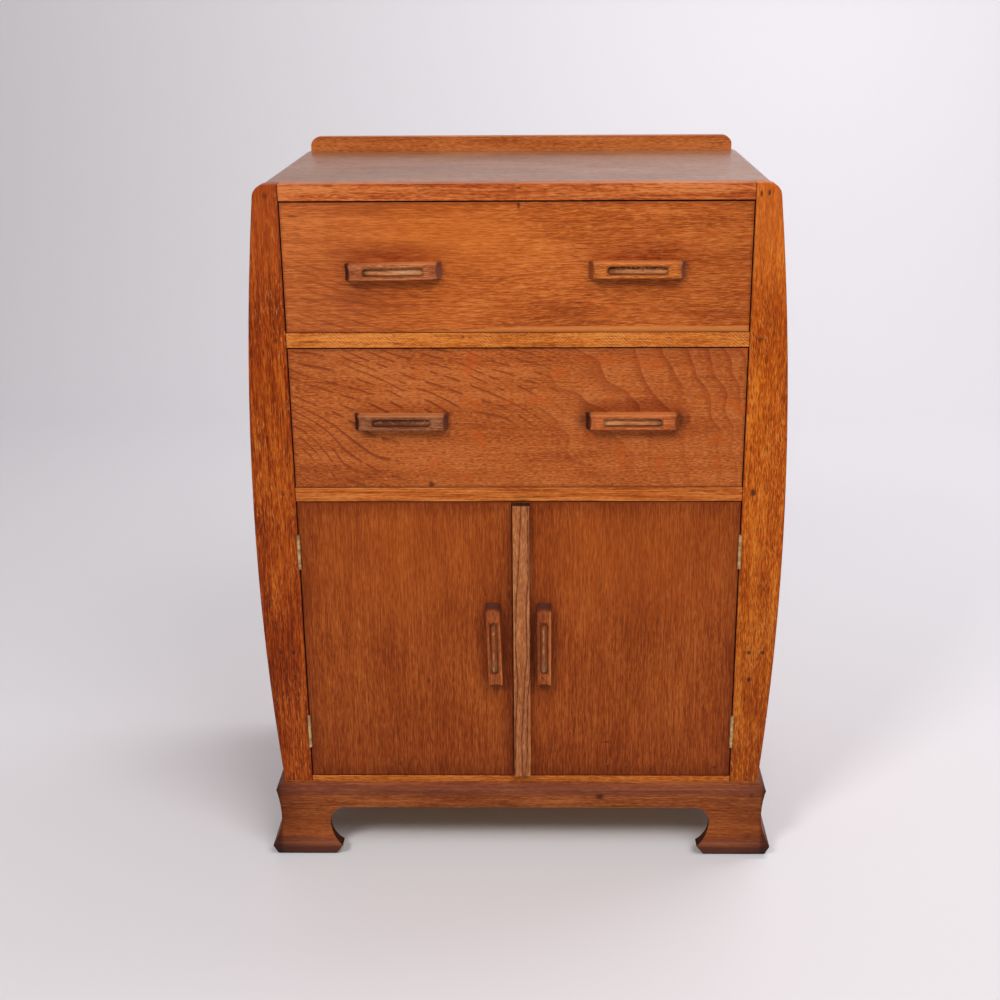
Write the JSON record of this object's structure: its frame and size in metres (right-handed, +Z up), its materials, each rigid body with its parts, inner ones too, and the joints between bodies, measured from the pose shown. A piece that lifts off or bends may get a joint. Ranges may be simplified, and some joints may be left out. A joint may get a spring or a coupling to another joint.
{
  "type": "tallboy",
  "caption": "Oak tallboy with a bowed outline, drawers that slide over a cupboard with hinged doors, a low back rail on top and a moulded bracket-foot plinth.",
  "frame": {"origin": "on the floor, in the middle of the width and depth over the plinth", "axes": "+X to the right seen from the front, +Y from the front to the back, +Z up"},
  "size_m": [0.766, 0.4415, 1.047],
  "materials": {
    "case_oak": "satin golden-brown oiled oak, vertical grain",
    "rail_oak": "satin golden-brown oak, grain along the rail",
    "top_oak": "satin brown oak, grain across the width",
    "plinth_oak": "satin darker brown oak",
    "upper_front_oak": "satin quarter-sawn oak with short pale flecks",
    "lower_front_oak": "satin quarter-sawn oak with slanting ray figure",
    "door_oak": "satin reddish-brown oak veneer, vertical grain",
    "strip_oak": "satin paler oak with bold dark grain lines",
    "handle_oak": "satin brown oak",
    "inner_wood": "bare wood, dry and matt",
    "plywood": "bare plywood, matt",
    "aged_brass": "dull aged brass",
    "screw_steel": "dull steel"
  },
  "bodies": {
    "case": {"back_panel": "plywood", "back_rails": "inner_wood", "back_stile_left": "case_oak", "back_stile_right": "case_oak", "bottom_rail": "rail_oak", "cupboard_floor": "plywood", "cupboard_shelf": "inner_wood", "drawer_guides": "inner_wood", "drawer_runners": "inner_wood", "drawer_stops": "inner_wood", "dust_panel": "plywood", "face_nails": "screw_steel", "front_stile_left": "case_oak", "front_stile_right": "case_oak", "gallery": "top_oak", "hinge_pins": "aged_brass", "lower_drawer_rail": "rail_oak", "magnetic_catches": "screw_steel", "plinth_back": "plinth_oak", "plinth_blocks": "inner_wood", "plinth_front": "plinth_oak", "plinth_side_left": "plinth_oak", "plinth_side_right": "plinth_oak", "shelf_bearers": "inner_wood", "side_panel_left": "case_oak", "side_panel_right": "case_oak", "stile_hinge_leaves": "aged_brass", "stile_hinge_screws": "screw_steel", "top_front_rail": "rail_oak", "top_panel": "top_oak", "upper_drawer_rail": "rail_oak"},
    "upper_drawer": {"upper_drawer_back": "inner_wood", "upper_drawer_bottom": "plywood", "upper_drawer_front": "upper_front_oak", "upper_drawer_handle_left": "handle_oak", "upper_drawer_handle_right": "handle_oak", "upper_drawer_handle_screws": "screw_steel", "upper_drawer_side_left": "inner_wood", "upper_drawer_side_right": "inner_wood"},
    "lower_drawer": {"lower_drawer_back": "inner_wood", "lower_drawer_bottom": "plywood", "lower_drawer_front": "lower_front_oak", "lower_drawer_handle_left": "handle_oak", "lower_drawer_handle_right": "handle_oak", "lower_drawer_handle_screws": "screw_steel", "lower_drawer_side_left": "inner_wood", "lower_drawer_side_right": "inner_wood"},
    "left_door": {"left_door": "door_oak", "left_door_handle": "handle_oak", "left_door_hinge_leaves": "aged_brass", "left_door_screws": "screw_steel", "left_catch_plate": "screw_steel"},
    "right_door": {"right_door": "door_oak", "right_door_handle": "handle_oak", "right_door_hinge_leaves": "aged_brass", "right_door_screws": "screw_steel", "right_catch_plate": "screw_steel", "closing_strip": "strip_oak"}
  },
  "joints": [
    {"name": "upper_drawer_slide", "type": "slide", "parent": "case", "child": "upper_drawer", "axis": [0, -1, 0], "range_m": [0, 0.3]},
    {"name": "lower_drawer_slide", "type": "slide", "parent": "case", "child": "lower_drawer", "axis": [0, -1, 0], "range_m": [0, 0.3]},
    {"name": "left_door_swing", "type": "hinge", "parent": "case", "child": "left_door", "pos_m": [-0.31915, -0.2018, 0.352], "axis": [0, 0, -1], "range_deg": [0, 170]},
    {"name": "right_door_swing", "type": "hinge", "parent": "case", "child": "right_door", "pos_m": [0.31915, -0.2018, 0.352], "axis": [0, 0, 1], "range_deg": [0, 170]}
  ]
}
